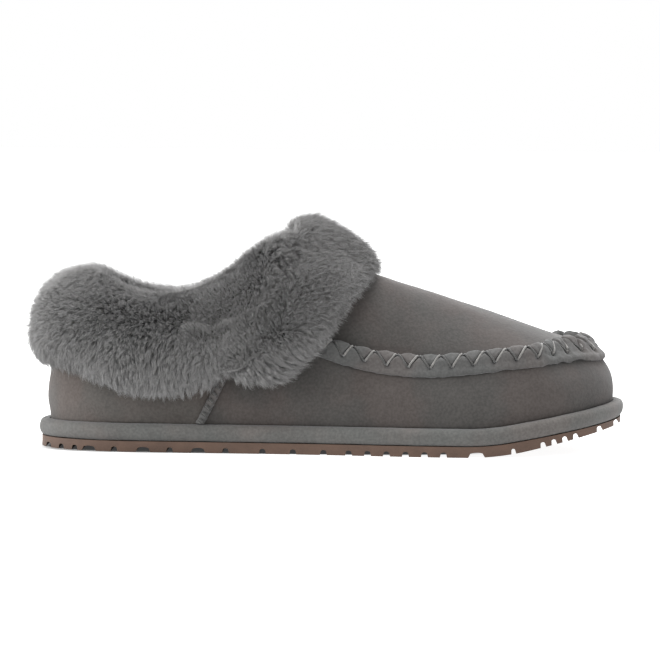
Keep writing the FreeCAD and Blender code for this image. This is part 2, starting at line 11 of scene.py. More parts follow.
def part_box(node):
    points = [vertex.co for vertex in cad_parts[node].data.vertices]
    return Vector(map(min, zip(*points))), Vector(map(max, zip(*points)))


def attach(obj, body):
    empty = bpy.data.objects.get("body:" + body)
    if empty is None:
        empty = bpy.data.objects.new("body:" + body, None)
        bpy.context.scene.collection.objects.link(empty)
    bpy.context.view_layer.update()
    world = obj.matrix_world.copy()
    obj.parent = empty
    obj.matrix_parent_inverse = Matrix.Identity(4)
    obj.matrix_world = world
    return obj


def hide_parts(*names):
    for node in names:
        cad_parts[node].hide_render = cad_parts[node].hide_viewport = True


# The looks of a sheepskin house slipper, built round its CAD model. Metres, in the model's own frame:
# +X points to the toe, -Y to the outer side that the camera sees, and +Z up.

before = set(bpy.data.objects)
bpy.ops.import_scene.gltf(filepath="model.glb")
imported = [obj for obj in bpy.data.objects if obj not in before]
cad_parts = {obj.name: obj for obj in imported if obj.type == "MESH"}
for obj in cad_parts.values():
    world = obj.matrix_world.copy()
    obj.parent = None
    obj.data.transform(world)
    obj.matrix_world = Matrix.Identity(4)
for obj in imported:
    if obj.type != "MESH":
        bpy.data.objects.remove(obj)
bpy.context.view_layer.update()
MM = 0.001
RAY_REACH = 0.1
draw = np.random.default_rng(20)


# ---------------------------------------------------------------- small tools

def cad_shape(*nodes):
    """The points and triangles of CAD nodes, as arrays."""
    points = []
    triangles = []
    offset = 0
    for node in nodes:
        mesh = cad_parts[node].data
        mesh.calc_loop_triangles()
        co = np.empty(len(mesh.vertices) * 3, np.float32)
        mesh.vertices.foreach_get("co", co)
        tri = np.empty(len(mesh.loop_triangles) * 3, np.int32)
        mesh.loop_triangles.foreach_get("vertices", tri)
        points.append(co.reshape(-1, 3))
        triangles.append(tri.reshape(-1, 3) + offset)
        offset += len(mesh.vertices)
    return np.concatenate(points), np.concatenate(triangles)


def tree_of(*nodes):
    """A tree for casting rays at CAD nodes."""
    points, triangles = cad_shape(*nodes)
    return BVHTree.FromPolygons(points.tolist(), triangles.tolist())


def unit(vectors):
    """Vectors scaled to length one."""
    return vectors / np.maximum(np.linalg.norm(vectors, axis=-1, keepdims=True), 1e-12)


def blobs(points, size, seed=0.0):
    """Smooth noise from -1 to 1 at each point, with lumps about that size."""
    shift = Vector((seed, -seed, 0.5 * seed))
    return np.array([noise.noise(Vector(p) / size + shift) for p in points.tolist()])


def smooth_step(value):
    """Zero below 0, one above 1 and smooth between."""
    value = np.clip(value, 0.0, 1.0)
    return value * value * (3 - 2 * value)


def ridge(values, centre, width):
    """One where a value is at the centre, falling away smoothly over a width to either side."""
    return np.exp(-((values - centre) / width) ** 2)


def read_off(places, own_places, points):
    """Points in between others, at places measured along them."""
    return np.stack([np.interp(places, own_places, points[:, k]) for k in range(points.shape[1])], axis=1)


def length_along(points):
    """How far along a line each of its points lies."""
    return np.concatenate([[0], np.cumsum(np.linalg.norm(np.diff(points, axis=0), axis=1))])


def make_mesh(name, points, quads, tris=None):
    """A mesh from arrays of points, four-sided faces and three-sided faces."""
    tris = np.empty((0, 3), np.int32) if tris is None else tris
    corners = np.concatenate([quads.ravel(), tris.ravel()]).astype(np.int32)
    sizes = np.concatenate([np.full(len(quads), 4), np.full(len(tris), 3)]).astype(np.int32)
    starts = np.concatenate([[0], np.cumsum(sizes)[:-1]]).astype(np.int32)
    mesh = bpy.data.meshes.new(name)
    mesh.vertices.add(len(points))
    mesh.vertices.foreach_set("co", points.astype(np.float32).ravel())
    mesh.loops.add(len(corners))
    mesh.loops.foreach_set("vertex_index", corners)
    mesh.polygons.add(len(sizes))
    mesh.polygons.foreach_set("loop_start", starts)
    mesh.polygons.foreach_set("loop_total", sizes)
    mesh.update(calc_edges=True)
    return mesh


def add_piece(name, mesh, materials, replaces=()):
    """A smoothly shaded object for a mesh, riding on the slipper's one body, in place of CAD nodes."""
    mesh.materials.clear()
    for material in materials:
        mesh.materials.append(material)
    mesh.polygons.foreach_set("use_smooth", [True] * len(mesh.polygons))
    piece = bpy.data.objects.new(name, mesh)
    bpy.context.scene.collection.objects.link(piece)
    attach(piece, "root")
    if replaces:
        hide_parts(*replaces)
    return piece


def points_of(mesh):
    """The points of a mesh as an array."""
    co = np.empty(len(mesh.vertices) * 3, np.float32)
    mesh.vertices.foreach_get("co", co)
    return co.reshape(-1, 3).astype(float)


def normals_of(mesh):
    """The normals at the points of a mesh as an array."""
    normals = np.empty(len(mesh.vertices) * 3, np.float32)
    mesh.vertices.foreach_get("normal", normals)
    return normals.reshape(-1, 3).astype(float)


def remeshed(node, voxel, rounding):
    """A fine, even copy of a CAD node's mesh, with its edges rounded off by that many smoothing passes."""
    points, triangles = cad_shape(node)
    mesh = make_mesh(f"{node}_fine", points, np.empty((0, 4), np.int32), triangles)
    cleaner = bmesh.new()
    cleaner.from_mesh(mesh)
    bmesh.ops.remove_doubles(cleaner, verts=cleaner.verts, dist=0.01 * MM)
    cleaner.to_mesh(mesh)
    cleaner.free()
    shape = bpy.data.objects.new(f"{node}_fine", mesh)
    bpy.context.scene.collection.objects.link(shape)
    even = shape.modifiers.new("even", "REMESH")
    even.mode = "VOXEL"
    even.voxel_size = voxel
    relax = shape.modifiers.new("relax", "SMOOTH")
    relax.factor = 0.5
    relax.iterations = rounding
    graph = bpy.context.evaluated_depsgraph_get()
    fine = bpy.data.meshes.new_from_object(shape.evaluated_get(graph))
    bpy.data.objects.remove(shape)
    bpy.data.meshes.remove(mesh)
    return fine


def grid_quads(rows, columns, first=0, flip=False):
    """The faces of a grid of points, numbered row by row."""
    i, j = np.meshgrid(np.arange(rows - 1), np.arange(columns - 1), indexing="ij")
    a = (first + i * columns + j).ravel()
    quads = np.stack([a, a + columns, a + columns + 1, a + 1], axis=1)
    return quads[:, ::-1] if flip else quads


def closed_band(name, front, back):
    """A closed mesh between two grids of points of the same size, with a rim that joins their edges."""
    rows, columns, _ = front.shape
    count = rows * columns
    quads = [grid_quads(rows, columns), grid_quads(rows, columns, count, flip=True)]
    rim = [(r, 0) for r in range(rows)]
    rim += [(rows - 1, c) for c in range(1, columns)]
    rim += [(r, columns - 1) for r in range(rows - 2, -1, -1)]
    rim += [(0, c) for c in range(columns - 2, 0, -1)]
    loop = np.array([r * columns + c for r, c in rim])
    following = np.roll(loop, -1)
    quads.append(np.stack([following, loop, loop + count, following + count], axis=1))
    mesh = make_mesh(name, np.concatenate([front.reshape(-1, 3), back.reshape(-1, 3)]),
                     np.concatenate(quads))
    return outwards(mesh)


def outwards(mesh):
    """The same mesh with every face turned to face outwards."""
    turner = bmesh.new()
    turner.from_mesh(mesh)
    bmesh.ops.recalc_face_normals(turner, faces=turner.faces)
    turner.to_mesh(mesh)
    turner.free()
    return mesh


def tube(paths, radius, sides=8):
    """Points and faces of round bars with closed ends along paths, each an array of points."""
    no_path_runs_this_way = np.array([0.13, 0.31, 0.94])
    points = []
    quads = []
    caps = []
    first = 0
    for path in paths:
        along = unit(np.gradient(path, axis=0))
        side = unit(np.cross(along, no_path_runs_this_way))
        other = np.cross(along, side)
        angle = np.arange(sides) * 2 * math.pi / sides
        ring = (np.cos(angle)[None, :, None] * side[:, None, :]
                + np.sin(angle)[None, :, None] * other[:, None, :]) * radius
        points.append((path[:, None, :] + ring).reshape(-1, 3))
        count = len(path)
        for r in range(count - 1):
            a = first + r * sides + np.arange(sides)
            b = first + r * sides + (np.arange(sides) + 1) % sides
            quads.append(np.stack([a, b, b + sides, a + sides], axis=1))
        for r, turn in ((0, -1), (count - 1, 1)):
            edge = first + r * sides + np.arange(sides)[::turn]
            caps += [(edge[0], edge[k], edge[k + 1]) for k in range(1, sides - 1)]
        first += count * sides
    return np.concatenate(points), np.concatenate(quads), np.array(caps)


# ---------------------------------------------------------------- materials

# The colour of every sheen, and how suede's colour changes where its nap lies one way or the other.
DAYLIGHT = (0.95, 0.97, 1.0)
WARM_NAP = (1.27, 1.09, 1.05)
COOL_NAP = (0.83, 0.92, 0.93)


def new_material(name, roughness, sheen=0.0, sheen_tint=(1.0, 1.0, 1.0)):
    """A material with a shader whose constant values are set on its own sockets."""
    material = bpy.data.materials.new(name)
    material.use_nodes = True
    shader = material.node_tree.nodes["Principled BSDF"]
    shader.inputs["Roughness"].default_value = roughness
    shader.inputs["Specular IOR Level"].default_value = 0.2
    shader.inputs["Sheen Weight"].default_value = sheen
    shader.inputs["Sheen Roughness"].default_value = 0.6
    shader.inputs["Sheen Tint"].default_value = (*sheen_tint, 1.0)
    return material, shader


def noise_node(tree, scale, detail, stretch=(1.0, 1.0, 1.0), offset=0.0):
    """Noise over the object's own coordinates, with scale in lumps per metre."""
    place = tree.nodes.new("ShaderNodeTexCoord")
    mapping = tree.nodes.new("ShaderNodeMapping")
    mapping.inputs["Location"].default_value = (offset, 0.0, 0.0)
    mapping.inputs["Scale"].default_value = stretch
    texture = tree.nodes.new("ShaderNodeTexNoise")
    texture.inputs["Scale"].default_value = scale
    texture.inputs["Detail"].default_value = detail
    tree.links.new(place.outputs["Object"], mapping.inputs["Vector"])
    tree.links.new(mapping.outputs["Vector"], texture.inputs["Vector"])
    return texture.outputs["Fac"]


def ramp_node(tree, value, stops):
    """Colours that a value from 0 to 1 runs through."""
    ramp = tree.nodes.new("ShaderNodeValToRGB")
    elements = ramp.color_ramp.elements
    for element, (place, colour) in zip(elements, (stops[0], stops[-1])):
        element.position = place
        element.color = (*colour, 1.0)
    for place, colour in stops[1:-1]:
        element = elements.new(place)
        element.color = (*colour, 1.0)
    tree.links.new(value, ramp.inputs["Fac"])
    return ramp.outputs["Color"]


def mixed(tree, amount, first, second):
    """Two colours mixed by an amount."""
    mix = tree.nodes.new("ShaderNodeMix")
    mix.data_type = "RGBA"
    values = {"Factor": amount, "A": first, "B": second}
    for name, value in values.items():
        socket = mix.inputs[name]
        if isinstance(value, (float, tuple)):
            socket.default_value = value
        else:
            tree.links.new(value, socket)
    return mix.outputs["Result"]


def math_node(tree, operation, first, second, clamp=False):
    """A calculation on a value, with a number or another value."""
    node = tree.nodes.new("ShaderNodeMath")
    node.operation = operation
    node.use_clamp = clamp
    for socket, value in zip(node.inputs, (first, second)):
        if isinstance(value, float):
            socket.default_value = value
        else:
            tree.links.new(value, socket)
    return node.outputs["Value"]


def bump_node(tree, shader, height, depth):
    """Relief that deep, in metres, on a shader."""
    bump = tree.nodes.new("ShaderNodeBump")
    bump.inputs["Distance"].default_value = depth
    tree.links.new(height, bump.inputs["Height"])
    tree.links.new(bump.outputs["Normal"], shader.inputs["Normal"])


def srgb(red, green, blue):
    """A screen colour from 0 to 255 as the linear colour that a shader takes."""
    return tuple((c / 255 / 12.92 if c / 255 <= 0.04045 else ((c / 255 + 0.055) / 1.055) ** 2.4)
                 for c in (red, green, blue))


def shade(colour, factor):
    """A colour made darker or lighter."""
    return tuple(min(c * factor, 1.0) for c in colour)


def suede(name, colour, nap=0.10 * MM):
    """Brushed suede: cloudy patches where the nap lies differently, over fine fibres."""
    material, shader = new_material(name, roughness=0.95, sheen=0.12, sheen_tint=DAYLIGHT)
    tree = material.node_tree
    patches = noise_node(tree, scale=75.0, detail=5.0)
    sides = noise_node(tree, scale=34.0, detail=3.0, offset=0.7)
    fibres = noise_node(tree, scale=900.0, detail=4.0, offset=0.3)
    warm = tuple(c * k for c, k in zip(colour, WARM_NAP))
    cool = tuple(c * k for c, k in zip(colour, COOL_NAP))
    nap_side = ramp_node(tree, sides, [(0.4, cool), (0.5, colour), (0.6, warm)])
    dark = shade(colour, 0.8)
    pale = shade(colour, 1.24)
    cloud = ramp_node(tree, patches, [(0.38, dark), (0.5, colour), (0.62, pale)])
    cloud = mixed(tree, 0.6, cloud, nap_side)
    fine = ramp_node(tree, fibres, [(0.36, shade(colour, 0.7)), (0.64, shade(colour, 1.32))])
    tree.links.new(mixed(tree, 0.42, cloud, fine), shader.inputs["Base Color"])
    bump_node(tree, shader, fibres, nap)
    return material


def fleece(name, colour, glow):
    """Sheep's wool in one flat colour, with as much sheen as it glows with."""
    material, shader = new_material(name, roughness=0.8, sheen=glow, sheen_tint=DAYLIGHT)
    shader.inputs["Base Color"].default_value = (*colour, 1.0)
    return material


def skin_side(name, colour):
    """Matted wool at the roots of the pile, seen only between the tufts."""
    material, shader = new_material(name, roughness=1.0)
    tree = material.node_tree
    tufts = noise_node(tree, scale=420.0, detail=4.0)
    tree.links.new(ramp_node(tree, tufts, [(0.3, shade(colour, 0.5)), (0.7, shade(colour, 1.3))]),
                   shader.inputs["Base Color"])
    bump_node(tree, shader, tufts, 0.8 * MM)
    return material


def gum_rubber(name, colour):
    """Moulded natural rubber, a little dusty, with a fine matt texture."""
    material, shader = new_material(name, roughness=0.62)
    shader.inputs["Specular IOR Level"].default_value = 0.4
    tree = material.node_tree
    dust = noise_node(tree, scale=160.0, detail=6.0)
    speck = noise_node(tree, scale=2600.0, detail=2.0)
    cloud = ramp_node(tree, dust, [(0.3, shade(colour, 0.8)), (0.5, colour), (0.75, shade(colour, 1.22))])
    grain = ramp_node(tree, speck, [(0.35, shade(colour, 0.7)), (0.6, shade(colour, 1.15))])
    tree.links.new(mixed(tree, 0.3, cloud, grain), shader.inputs["Base Color"])
    bump_node(tree, shader, speck, 0.05 * MM)
    return material


def spun(name, colour):
    """Waxed thread or tape, with fibres that catch the light."""
    material, shader = new_material(name, roughness=0.7, sheen=0.3, sheen_tint=DAYLIGHT)
    tree = material.node_tree
    twist = noise_node(tree, scale=1400.0, detail=3.0, stretch=(1.0, 1.0, 0.5))
    tree.links.new(ramp_node(tree, twist, [(0.3, shade(colour, 0.7)), (0.7, shade(colour, 1.25))]),
                   shader.inputs["Base Color"])
    bump_node(tree, shader, twist, 0.08 * MM)
    return material


def foam(name, colour, cell):
    """Open-celled foam or pressed fibre board, pitted at the size of its cells."""
    material, shader = new_material(name, roughness=0.9)
    tree = material.node_tree
    cells = noise_node(tree, scale=1.0 / cell, detail=2.0)
    tree.links.new(ramp_node(tree, cells, [(0.35, shade(colour, 0.75)), (0.65, shade(colour, 1.1))]),
                   shader.inputs["Base Color"])
    bump_node(tree, shader, cells, 0.2 * MM)
    return material


UPPER_GREY = srgb(65, 62, 60)
WRAP_GREY = srgb(84, 83, 81)
WELT_GREY = srgb(76, 75, 74)
HEEL_GREY = srgb(72, 68, 65)

upper_suede = suede("upper_suede", UPPER_GREY)
quarter_suede = suede("quarter_suede", HEEL_GREY)
wrap_suede = suede("wrap_suede", WRAP_GREY, nap=0.16 * MM)
welt_suede = suede("welt_suede", WELT_GREY, nap=0.16 * MM)
rubber = gum_rubber("gum_rubber", srgb(80, 61, 50))
lacing = spun("lacing_thread", srgb(112, 110, 107))
# Painted shade: a darker copy of the lacing thread, for the lacing's under legs and the side seams' whip
# stitches.
shaded_lacing = spun("lacing_thread_shaded", srgb(64, 63, 61))
sewing = spun("sewing_thread", srgb(104, 102, 99))
tape = spun("tape", srgb(150, 146, 140))
board = foam("fibre_board", srgb(166, 140, 104), 0.6 * MM)
midsole = foam("midsole_foam", srgb(196, 190, 178), 0.9 * MM)
footbed = foam("footbed_foam", srgb(214, 205, 190), 1.1 * MM)
fleece_base = skin_side("fleece_base", srgb(88, 87, 86))

# The wool's tones run from its dark roots to its pale tips, each with its own sheen. This is partly the
# wool's own colour and partly painted light: the near-white tips stand in for light shining through the
# fringe.
WOOL_TONES = [srgb(130, 129, 128), srgb(153, 152, 151), srgb(177, 176, 175), srgb(202, 201, 200),
              srgb(228, 227, 227), srgb(246, 246, 246)]
WOOL_SHEEN = [0.25, 0.35, 0.5, 0.65, 0.8, 1.0]
PALEST_ROOT = len(WOOL_TONES) - 3
wool = [fleece(f"wool_{i + 1}", tone, glow) for i, (tone, glow) in enumerate(zip(WOOL_TONES, WOOL_SHEEN))]


# ---------------------------------------------------------------- pieces kept from the CAD model

def dress(node, material):
    """Put a finished material on a CAD node."""
    mesh_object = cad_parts[node]
    mesh_object.data.materials.clear()
    mesh_object.data.materials.append(material)


KEPT = {"outsole": rubber, "midsole_foam": midsole, "insole_board": board, "footbed_foam": footbed,
        "toe_puff": board, "heel_counter": board, "topline_tape": tape, "rear_cuff_stitches": sewing,
        "front_cuff_stitches": sewing}
for kept, finish in KEPT.items():
    dress(kept, finish)


# ---------------------------------------------------------------- suede panels

def suede_panel(node, material, voxel=0.62 * MM, rounding=6, lumps=0.16 * MM):
    """A CAD panel with rounded edges and the slight unevenness of hand-stretched suede."""
    mesh = remeshed(node, voxel, rounding)
    points = points_of(mesh)
    broad = blobs(points, size=11.0 * MM)
    small = blobs(points, size=2.6 * MM, seed=5.0)
    lift = broad * lumps + small * lumps * 0.3
    points += normals_of(mesh) * lift[:, None]
    mesh.vertices.foreach_set("co", points.astype(np.float32).ravel())
    mesh.update()
    return add_piece(f"{node}_suede", mesh, [material], [node])


suede_panel("vamp_wall", upper_suede)
suede_panel("vamp_plug", upper_suede)
suede_panel("heel_quarter", quarter_suede)
suede_panel("midsole_wrap", wrap_suede, voxel=0.5 * MM, rounding=4, lumps=0.12 * MM)


# ---------------------------------------------------------------- the moccasin welt and its lacing

# The lacing: its pitch along the welt, and its holes and ends as shares of the way up the welt.
STITCH_PITCH = 9.8 * MM
LOW_HOLES = 0.36
HIGH_HOLES = 0.97
LACE_TOP = 0.98

# The welt's U turns this far behind its tip. Its face is read off the CAD node, then built finer.
TOE_TURN = 42.0 * MM
TOE_RAYS = 260
WELT_LINES = 15
WELT_COLUMNS = 33


def outline_rays():
    """Places and directions, seen from above, that cross the U of the welt from one end to the other."""
    low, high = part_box("moc_seam_welt")
    turn_x = high.x - TOE_TURN
    middle = (low.y + high.y) / 2
    straight = np.arange(low.x + 0.4 * MM, turn_x, 0.5 * MM)
    rays = [((x, middle), (0.0, -1.0)) for x in straight]
    rays += [((turn_x, middle), (math.sin(a), -math.cos(a))) for a in np.linspace(0, math.pi, TOE_RAYS)]
    return rays + [((x, middle), (0.0, 1.0)) for x in straight[::-1]]


def welt_sections():
    """The CAD welt's outer face as a grid of points, in sections from its lower to its upper edge."""
    tree = tree_of("moc_seam_welt")
    low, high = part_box("moc_seam_welt")
    heights = np.arange(low.z + 0.1 * MM, high.z, 0.25 * MM)
    fewest_hits = 9
    sections = []
    for (x, y), (dx, dy) in outline_rays():
        inwards = Vector((-dx, -dy, 0))
        hits = []
        for z in heights:
            start = Vector((x + dx * RAY_REACH, y + dy * RAY_REACH, z))
            hit = tree.ray_cast(start, inwards, RAY_REACH)[0]
            if hit is not None:
                hits.append(hit)
        if len(hits) >= fewest_hits:
            hits = np.array(hits)
            length = length_along(hits)
            sections.append(read_off(np.linspace(0, length[-1], WELT_LINES), length, hits))
    return np.array(sections)


def spaced(sections, step):
    """Places a step apart along the middle line of sections, and the sections at those places."""
    length = length_along(sections[:, sections.shape[1] // 2])
    places = np.arange(0, length[-1], step)
    even = read_off(places, length, sections.reshape(len(sections), -1))
    return places, even.reshape(len(places), *sections.shape[1:])


def relaxed(grid, passes):
    """A grid of points evened out along its rows."""
    for _ in range(passes):
        grid[1:-1] = (grid[:-2] + 2 * grid[1:-1] + grid[2:]) / 4
    return grid


def grid_normals(grid, inside):
    """Unit normals of a grid of points, pointing away from a line of points inside."""
    normals = unit(np.cross(np.gradient(grid, axis=0), np.gradient(grid, axis=1)))
    away = np.sign(np.sum(normals * (grid - inside), axis=-1, keepdims=True))
    return normals * away


# The welt faces away from a line inside the slipper, behind and below the welt's own middle.
welt_length, welt_face = spaced(relaxed(welt_sections(), 6), 0.4 * MM)
welt_inside = welt_face.mean(axis=1, keepdims=True) * np.array([1.0, 0.0, 1.0])
welt_inside = welt_inside - np.array([12.0, 0.0, 8.0]) * MM
welt_normals = grid_normals(welt_face, welt_inside)


def at_welt(place, share, proud):
    """A point at a place along the welt and a share of the way up it, standing that far proud."""
    row = np.interp(place, welt_length, np.arange(len(welt_length)))
    column = share * (welt_face.shape[1] - 1)
    r, c = int(min(row, len(welt_length) - 2)), int(min(column, welt_face.shape[1] - 2))
    fr, fc = row - r, column - c

    def blend(grid):
        top = grid[r, c] * (1 - fc) + grid[r, c + 1] * fc
        bottom = grid[r + 1, c] * (1 - fc) + grid[r + 1, c + 1] * fc
        return top * (1 - fr) + bottom * fr

    return blend(welt_face) + unit(blend(welt_normals)) * proud


def finer(grid, columns):
    """The same grid of points with more columns, read off between its own."""
    column = np.linspace(0, 1, columns) * (grid.shape[1] - 1)
    c = np.minimum(column.astype(int), grid.shape[1] - 2)
    part = (column - c)[None, :, None]
    return grid[:, c] * (1 - part) + grid[:, c + 1] * part


# How far the lacing shapes the welt, in millimetres.
LOW_PINCH = 1.6
HIGH_PINCH = 1.1
LACE_GROOVE = 0.65
PILLOW = 0.75
EDGE_ROLL = 1.5
EDGE_FLUTTER = 0.75
ROUGHNESS = 0.35
TOE_RISE = 1.5
WELT_DEPTH = 2.6


def puckered_welt():
    """The welt drawn in by its lacing: pillows between the stitches and a wavy lower edge."""
    skin = finer(welt_face, WELT_COLUMNS)
    normals = unit(finer(welt_normals, WELT_COLUMNS))
    across = unit(np.gradient(skin, axis=1))
    share = np.linspace(0, 1, WELT_COLUMNS)[None]
    low_edge = skin[:, 0]
    wander = blobs(low_edge, size=26.0 * MM, seed=3.0)[:, None] * 0.12
    stitch = welt_length[:, None] / STITCH_PITCH + wander
    wave = np.cos(2 * math.pi * stitch)
    low_hole = 0.5 + 0.5 * wave
    high_hole = 0.5 - 0.5 * wave
    at_low = ridge(share, LOW_HOLES, width=0.13)
    at_high = ridge(share, HIGH_HOLES, width=0.16)
    pinch = low_hole ** 6 * at_low * LOW_PINCH + high_hole ** 4 * at_high * HIGH_PINCH
    leg = np.abs((stitch % 1.0) * 2 - 1)
    on_leg = ridge(share, LOW_HOLES + (1 - leg) * (HIGH_HOLES - LOW_HOLES), width=0.07)
    uneven = 1 + 0.6 * blobs(low_edge, size=9.0 * MM, seed=6.0)[:, None]
    pillow = PILLOW * uneven * (1 - on_leg) * ridge(share, 0.66, width=0.26)
    edge = ridge(share, 0.0, width=0.2)
    flutter = blobs(low_edge, size=5.5 * MM, seed=9.0)[:, None] * 0.9 + 0.4 * wave
    crest = ridge(share, 1.0, width=0.16) * (low_hole ** 2 * 0.4 * uneven - high_hole ** 2 * 0.2)
    rough = blobs(skin.reshape(-1, 3), size=2.2 * MM, seed=1.0).reshape(skin.shape[:2]) * ROUGHNESS
    lift = (pillow - pinch - on_leg * LACE_GROOVE + edge * EDGE_ROLL + rough) * MM
    slide = (crest - flutter * edge * EDGE_FLUTTER) * MM
    face = skin + normals * lift[..., None] + across * slide[..., None]
    toe = smooth_step((face[..., 0] - 92 * MM) / (20 * MM))
    face[..., 2] += toe * smooth_step((share - 0.45) / 0.4) * TOE_RISE * MM
    mesh = closed_band("moc_welt", face, skin - normals * WELT_DEPTH * MM)
    return add_piece("moc_welt", mesh, [welt_suede], ["moc_seam_welt"])


def zigzag_lacing(name, first, thickness, material):
    """Every second leg of the zigzag thread, each end sinking into its hole."""
    count = int(welt_length[-1] / STITCH_PITCH * 2)
    points_per_leg = 12
    proud = 0.35
    sink = 1.6
    legs = []
    for i in range(first, count, 2):
        start = i * STITCH_PITCH / 2
        up = i % 2 == 0
        path = []
        for t in np.linspace(0, 1, points_per_leg):
            climb = t if up else 1 - t
            share = LOW_HOLES + (LACE_TOP - LOW_HOLES) * climb
            place = start + (0.06 + 0.88 * t) * STITCH_PITCH / 2
            sunk = (2 * abs(t - 0.5)) ** 6
            path.append(at_welt(place, share, (proud - sink * sunk) * MM))
        legs.append(np.array(path))
    mesh = outwards(make_mesh(name, *tube(legs, thickness / 2)))
    return add_piece(name, mesh, [material], ["moc_seam_lacing"])


puckered_welt()
zigzag_lacing("moc_lacing_over", 0, 1.0 * MM, lacing)
# The under legs wear the darker thread, whose colour is painted shade.
zigzag_lacing("moc_lacing_under", 1, 0.85 * MM, shaded_lacing)


# ---------------------------------------------------------------- side seams

# Sizes of the side seams, in millimetres.
SEAM_ROW_STEP = 0.3
WHIP_PITCH = 3.1
SEAM_DEPTH = 2.4


def side_seam(name, side):
    """The corded side seam, wound about with a whip stitch, on the side that Y's sign gives."""
    node = f"side_seam_welt_{name}"
    tree = tree_of(node)
    low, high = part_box(node)
    inwards = Vector((0, -side, 0))
    fewest_hits = 6
    points_per_row = 13
    rows = []
    for z in np.arange(low.z + 0.4 * MM, high.z - 0.4 * MM, SEAM_ROW_STEP * MM):
        row = []
        for x in np.arange(low.x - 1 * MM, high.x + 1 * MM, 0.2 * MM):
            hit = tree.ray_cast(Vector((x, side * RAY_REACH, z)), inwards, RAY_REACH)[0]
            if hit is not None:
                row.append(hit)
        if len(row) >= fewest_hits:
            row = np.array(row)
            rows.append(read_off(np.linspace(0, len(row) - 1, points_per_row), np.arange(len(row)), row))
    face = relaxed(np.array(rows), 4)
    normals = grid_normals(face, face.mean(axis=1, keepdims=True) * np.array([1.0, 0.0, 1.0]))
    columns = np.linspace(-1, 1, face.shape[1])[None]
    height = np.arange(len(face))[:, None] * SEAM_ROW_STEP
    wound = np.cos(2 * math.pi * (height / WHIP_PITCH + columns * 0.33))
    lift = (0.55 * wound + 0.5) * (1 - columns ** 2) ** 0.5 * MM
    front = face + normals * lift[..., None]
    mesh = closed_band(f"side_seam_{name}", front, face - normals * SEAM_DEPTH * MM)
    return add_piece(f"side_seam_{name}", mesh, [welt_suede], [node])


def whip_stitches(name):
    """The whip stitches of a side seam: the CAD ones, in the darker thread whose colour is painted shade.
    """
    dress(f"side_seam_stitches_{name}", shaded_lacing)


for seam_name, seam_side in (("outer", -1), ("inner", 1)):
    side_seam(seam_name, seam_side)
    whip_stitches(seam_name)


# ---------------------------------------------------------------- sheepskin

# Where a hair's points lie along it, and how wide it is at all but the last, which is its sharp tip.
HAIR_POINTS = np.array([0.0, 0.45, 0.78, 1.0])
HAIR_WIDTHS = np.array([1.0, 0.95, 0.75])
HAIRS_PER_PIECE = 12000


def sample(mesh, count):
    """Random points spread evenly over a mesh, with the smooth normal at each."""
    mesh.calc_loop_triangles()
    corners = np.empty(len(mesh.loop_triangles) * 3, np.int32)
    mesh.loop_triangles.foreach_get("vertices", corners)
    corners = corners.reshape(-1, 3)
    points = points_of(mesh)[corners]
    normals = normals_of(mesh)[corners]
    area = np.linalg.norm(np.cross(points[:, 1] - points[:, 0], points[:, 2] - points[:, 0]), axis=1)
    chosen = np.searchsorted(np.cumsum(area) / area.sum(), draw.random(count))
    a, b = np.sqrt(draw.random(count)), draw.random(count)
    weights = np.stack([1 - a, a * (1 - b), a * b], axis=1)[..., None]
    return (points[chosen] * weights).sum(axis=1), unit((normals[chosen] * weights).sum(axis=1))


def open_to_air(points, normals, tree, distance):
    """Whether nothing of the tree stands in front of each point, within a distance."""
    start = points + normals * 0.3 * MM
    return np.array([tree.ray_cast(Vector(p), Vector(n), distance)[0] is None
                     for p, n in zip(start.tolist(), normals.tolist())])


def depth_below(points, normals, tree, limit):
    """How far below each point the far side of its own shape is, up to a limit."""
    start = points - normals * 0.2 * MM
    casts = [tree.ray_cast(Vector(p), -Vector(n), limit) for p, n in zip(start.tolist(), normals.tolist())]
    return np.array([limit if cast[3] is None else cast[3] for cast in casts])


def hair_mesh(name, spines, width, tones):
    """Closed three-sided tapering hairs along spines, coloured by tone from root to tip."""
    count, points, _ = spines.shape
    along = unit(np.gradient(spines, axis=1))
    reference = unit(draw.normal(size=(count, 1, 3)))
    side = unit(np.cross(along, reference))
    other = np.cross(along, side)
    angle = np.arange(3) * 2 * math.pi / 3
    radius = (width[:, None] * HAIR_WIDTHS[None] / 2)[:, :, None, None]
    ring = (np.cos(angle)[None, None, :, None] * side[:, :-1, None, :]
            + np.sin(angle)[None, None, :, None] * other[:, :-1, None, :])
    rings = spines[:, :-1, None, :] + ring * radius
    body = np.concatenate([rings.reshape(count, -1, 3), spines[:, -1:, :]], axis=1)
    ring_count = points - 1
    tip = ring_count * 3
    quads = [(r * 3 + k, r * 3 + (k + 1) % 3, (r + 1) * 3 + (k + 1) % 3, (r + 1) * 3 + k)
             for r in range(ring_count - 1) for k in range(3)]
    quad_level = [r for r in range(ring_count - 1) for _ in range(3)]
    tris = [(tip - 3 + k, tip - 3 + (k + 1) % 3, tip) for k in range(3)] + [(2, 1, 0)]
    tri_level = [ring_count - 1] * 3 + [0]
    offset = (np.arange(count) * (tip + 1))[:, None, None]
    all_quads = (np.array(quads)[None] + offset).reshape(-1, 4)
    all_tris = (np.array(tris)[None] + offset).reshape(-1, 3)
    mesh = make_mesh(name, body.reshape(-1, 3), all_quads, all_tris)
    level = np.concatenate([(tones[:, None] + np.array(quad_level)[None]).ravel(),
                            (tones[:, None] + np.array(tri_level)[None]).ravel()])
    mesh.polygons.foreach_set("material_index", np.clip(level, 0, len(wool) - 1).astype(np.int32))
    return mesh


def nearest_of(points, centres):
    """For each point, the number of the nearest centre."""
    tree = KDTree(len(centres))
    for number, centre in enumerate(centres.tolist()):
        tree.insert(centre, number)
    tree.balance()
    return np.array([tree.find(p)[1] for p in points.tolist()])


def along_surface(directions, normals):
    """Directions laid flat on a surface, at length one."""
    return unit(directions - normals * np.sum(directions * normals, axis=1, keepdims=True))


